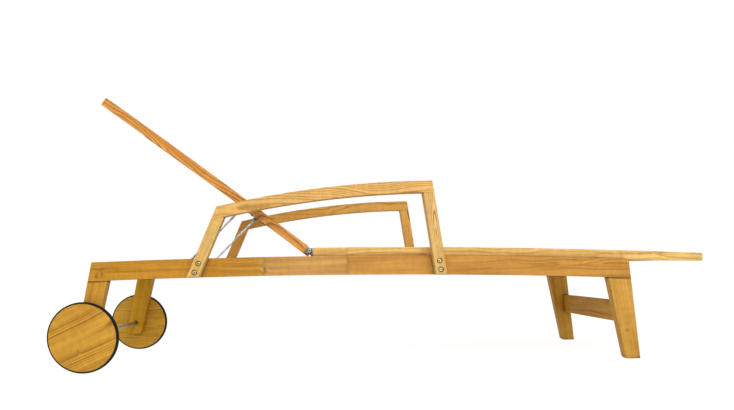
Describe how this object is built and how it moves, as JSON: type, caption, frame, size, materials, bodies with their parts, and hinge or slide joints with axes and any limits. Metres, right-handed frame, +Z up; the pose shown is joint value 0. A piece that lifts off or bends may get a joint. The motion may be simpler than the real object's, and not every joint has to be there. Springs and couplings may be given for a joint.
{
  "type": "sun lounger",
  "caption": "Wheeled hardwood sun lounger with bowed armrests and a hinged slatted back held up by a steel prop on notched racks",
  "frame": {"origin": "on the floor, under the middle of the bounding box", "axes": "+X towards the foot end, +Y to the sitter's left, +Z up"},
  "size_m": [2.0101, 0.728, 0.8426],
  "materials": {
    "teak": "oiled, satin",
    "steel": "satin stainless steel",
    "tyre": "matt black",
    "bush": "matt black"
  },
  "bodies": {
    "frame": {"side_rail_left": "teak", "side_rail_right": "teak", "head_cross_rail": "teak", "middle_cross_rail": "teak", "foot_cross_rail": "teak", "foot_stretcher": "teak", "frame_dowels": "teak", "wheel_leg_left": "teak", "wheel_leg_right": "teak", "foot_leg_left": "teak", "foot_leg_right": "teak", "arm_rear_post_left": "teak", "arm_rear_post_right": "teak", "arm_front_post_left": "teak", "arm_front_post_right": "teak", "arm_board_left": "teak", "arm_board_right": "teak", "arm_bolts": "steel", "arm_nuts": "steel", "seat_side_rail_left": "teak", "seat_side_rail_right": "teak", "seat_slats": "teak", "seat_head_rail": "teak", "seat_foot_rail": "teak", "seat_cleat_left": "teak", "seat_cleat_right": "teak", "cleat_screws": "steel", "seat_screws": "steel", "hinge_seat_leaves": "steel", "hinge_seat_screws": "steel", "prop_rack_left": "teak", "prop_rack_right": "teak", "rack_screws": "steel", "axle_bushes": "bush"},
    "backrest": {"back_side_rail_left": "teak", "back_side_rail_right": "teak", "back_slats": "teak", "back_foot_rail": "teak", "back_head_rail": "teak", "prop_rail": "teak", "hinge_back_leaves": "steel", "hinge_pins": "steel", "hinge_back_screws": "steel", "prop_brackets": "steel", "prop_pins": "steel", "bracket_screws": "steel"},
    "prop": {"prop_rod_left": "steel", "prop_rod_right": "steel", "prop_foot_bar": "steel"},
    "wheelset": {"axle": "steel", "hub_pins": "steel", "hub_screws": "steel", "wheel_hub_left": "steel", "wheel_hub_right": "steel", "wheel_disc_left": "teak", "wheel_disc_right": "teak", "tyre_left": "tyre", "tyre_right": "tyre"}
  },
  "joints": [
    {"name": "back_hinge", "type": "hinge", "parent": "frame", "child": "backrest", "pos_m": [-0.2094, 0, 0.35426], "axis": [0, 1, 0], "range_deg": [-38.1, 33.2]},
    {"name": "prop_hinge", "type": "hinge", "parent": "backrest", "child": "prop", "pos_m": [-0.42577, 0, 0.48833], "axis": [0, 1, 0], "range_deg": [-71, 81.5]},
    {"name": "wheel_spin", "type": "hinge", "parent": "frame", "child": "wheelset", "pos_m": [-0.8972, 0, 0.1077], "axis": [0, 1, 0], "continuous": true}
  ],
  "couplings": [
    {"joint": "prop_hinge", "follows": "back_hinge", "ratio": -2.12}
  ]
}
